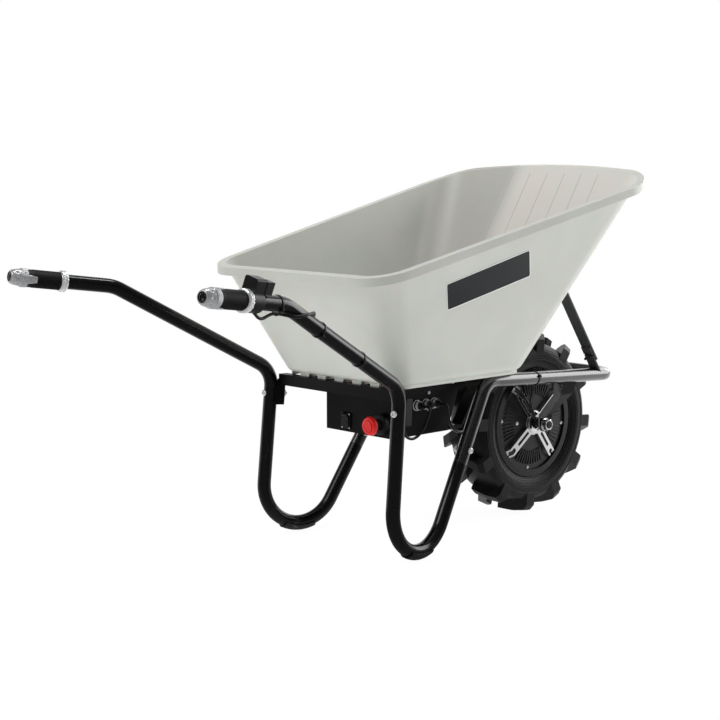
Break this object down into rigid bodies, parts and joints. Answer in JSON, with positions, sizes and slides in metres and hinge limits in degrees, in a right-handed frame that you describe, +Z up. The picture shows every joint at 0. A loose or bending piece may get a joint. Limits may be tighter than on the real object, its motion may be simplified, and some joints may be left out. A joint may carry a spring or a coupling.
{
  "type": "electric wheelbarrow",
  "caption": "Electric wheelbarrow: sloped plastic tub on a bent-tube frame, hub-motor wheel with tractor tread, twist throttle, battery box with emergency stop.",
  "frame": {"origin": "on the ground, under the middle of the bounding box", "axes": "+X forward to the wheel, +Y to the user's left, +Z up"},
  "size_m": [1.3989, 0.6414, 0.8038],
  "materials": {
    "frame_black": "gloss black powder coat",
    "sole_black": "black paint, scuffed",
    "zinc": "bright zinc plate",
    "tub_plastic": "pale grey-green moulded plastic, faintly translucent",
    "tyre_rubber": "black tractor-tread rubber",
    "rim_black": "semi-gloss black",
    "hub_dark": "dark cast alloy, satin",
    "spider_chrome": "bright chrome",
    "axle_steel": "turned steel",
    "motor_iron": "laminations and magnets, hidden",
    "battery_case": "hidden battery case",
    "controller_alloy": "hidden finned alloy case",
    "connector_black": "black moulded plastic",
    "stop_red": "red moulded plastic",
    "grip_rubber": "black soft rubber, dimpled",
    "grip_grey": "grey metallic plastic",
    "grip_clear": "bright moulded ring",
    "lead_black": "black cable sheath"
  },
  "bodies": {
    "frame": {"handle_tube_left": "frame_black", "handle_tube_right": "frame_black", "leg_left": "frame_black", "leg_right": "frame_black", "bumper_tube": "frame_black", "rear_crossbar": "frame_black", "saddle_brackets": "frame_black", "rail_left": "frame_black", "rail_right": "frame_black", "front_crossbar": "frame_black", "brace_left": "frame_black", "brace_right": "frame_black", "brace_feet": "frame_black", "stay_left": "frame_black", "stay_right": "frame_black", "stay_lugs": "frame_black", "battery_box": "frame_black", "battery_box_lid": "frame_black", "box_hangers": "frame_black", "leg_soles": "sole_black", "frame_bolts": "zinc", "brace_bolts": "zinc", "tub_bolts": "zinc", "stay_bolts": "zinc", "box_fasteners": "zinc", "axle_nuts": "zinc", "tub": "tub_plastic", "axle": "axle_steel", "stator": "motor_iron", "battery_pack": "battery_case", "motor_controller": "controller_alloy", "lead_connectors": "connector_black", "charge_socket": "connector_black", "throttle_housing": "connector_black", "charge_gauge": "connector_black", "e_stop_base": "connector_black", "grip_left": "grip_rubber", "grip_cap_left": "grip_grey", "grip_ring_left": "grip_clear", "throttle_cable": "lead_black", "motor_cable": "lead_black", "cable_ties": "lead_black"},
    "wheel": {"tyre": "tyre_rubber", "rim": "rim_black", "hub_cover_left": "hub_dark", "hub_cover_right": "hub_dark", "hub_spider_left": "spider_chrome", "hub_spider_right": "spider_chrome", "cover_screws": "zinc", "magnet_ring": "motor_iron", "bearings": "axle_steel"},
    "throttle": {"throttle_sleeve": "grip_rubber", "throttle_tube": "connector_black", "throttle_cap": "grip_grey", "throttle_ring": "grip_clear"},
    "e_stop_plunger": {"e_stop_plunger": "connector_black"},
    "e_stop_head": {"e_stop_head": "stop_red"},
    "charge_cap": {"charge_cap": "connector_black"}
  },
  "joints": [
    {"name": "wheel_spin", "type": "hinge", "parent": "frame", "child": "wheel", "pos_m": [0.474, 0, 0.21], "axis": [0, 1, 0], "continuous": true},
    {"name": "throttle_twist", "type": "hinge", "parent": "frame", "child": "throttle", "pos_m": [-0.69755, -0.30638, 0.5935], "axis": [0.9745, 0.1822, -0.1309], "range_deg": [0, 70], "stiffness_Nm_per_rad": 0.3},
    {"name": "e_stop_press", "type": "slide", "parent": "frame", "child": "e_stop_plunger", "axis": [1, 0, 0], "range_m": [0, 0.004], "stiffness_N_per_m": 1500},
    {"name": "e_stop_twist", "type": "hinge", "parent": "e_stop_plunger", "child": "e_stop_head", "pos_m": [-0.08, -0.077, 0.27], "axis": [1, 0, 0], "range_deg": [0, 45], "stiffness_Nm_per_rad": 0.05},
    {"name": "charge_cap_hinge", "type": "hinge", "parent": "frame", "child": "charge_cap", "pos_m": [-0.0483, 0.036, 0.2775], "axis": [0, 1, 0], "range_deg": [0, 110], "stiffness_Nm_per_rad": 0.02}
  ]
}
